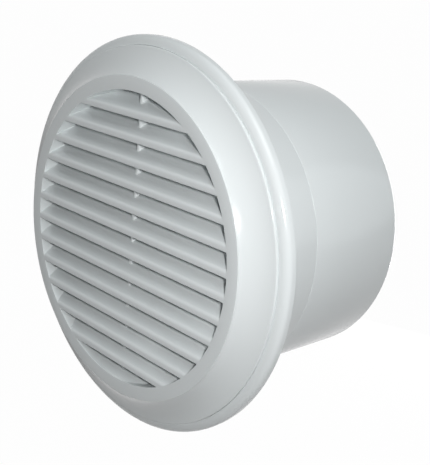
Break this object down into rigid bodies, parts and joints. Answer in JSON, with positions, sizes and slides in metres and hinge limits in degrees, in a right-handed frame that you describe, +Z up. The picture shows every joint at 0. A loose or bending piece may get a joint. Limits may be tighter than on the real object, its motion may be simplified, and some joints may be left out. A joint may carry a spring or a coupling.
{
  "type": "exhaust fan",
  "caption": "Round through-wall exhaust fan: dished cover with fixed louvres, flange, duct tube, and an axial impeller on a motor held in a pod.",
  "frame": {"origin": "centre of the duct on the wall plane, where the back of the flange rests", "axes": "+Y along the duct into the wall, +Z up, +X to the right seen from the room"},
  "size_m": [0.162, 0.0981, 0.162],
  "materials": {
    "casing_plastic": "satin moulded",
    "carrier_plastic": "fine grained moulded",
    "impeller_plastic": "satin moulded",
    "lamination_steel": "stamped sheets",
    "shading_copper": "bare copper",
    "bobbin_plastic": "moulded",
    "winding_enamel": "enamelled wire",
    "bracket_alloy": "die cast",
    "fastener_steel": "zinc plated",
    "bearing_bronze": "sintered",
    "shaft_steel": "ground",
    "rotor_steel": "turned",
    "terminal_plastic": "moulded",
    "terminal_brass": "plated",
    "lead_insulation": "extruded",
    "grommet_rubber": "moulded"
  },
  "bodies": {
    "housing": {"louvred_cover": "casing_plastic", "base_flange": "casing_plastic", "duct_tube": "casing_plastic", "motor_carrier": "carrier_plastic", "motor_cap": "carrier_plastic", "box_cover": "carrier_plastic", "stator_core": "lamination_steel", "shading_rings": "shading_copper", "coil_bobbins": "bobbin_plastic", "coil_windings": "winding_enamel", "front_bracket": "bracket_alloy", "rear_bracket": "bracket_alloy", "tie_bolts": "fastener_steel", "tie_nuts": "fastener_steel", "front_bush": "bearing_bronze", "rear_bush": "bearing_bronze", "terminal_block": "terminal_plastic", "terminal_tubes": "terminal_brass", "terminal_screws": "fastener_steel", "motor_leads": "lead_insulation", "cable_grommet": "grommet_rubber"},
    "rotating_assembly": {"impeller": "impeller_plastic", "impeller_nut": "fastener_steel", "shaft": "shaft_steel", "rotor": "rotor_steel"}
  },
  "joints": [
    {"name": "impeller_spin", "type": "hinge", "parent": "housing", "child": "rotating_assembly", "pos_m": [0, 0.0465, 0], "axis": [0, 1, 0], "continuous": true}
  ]
}
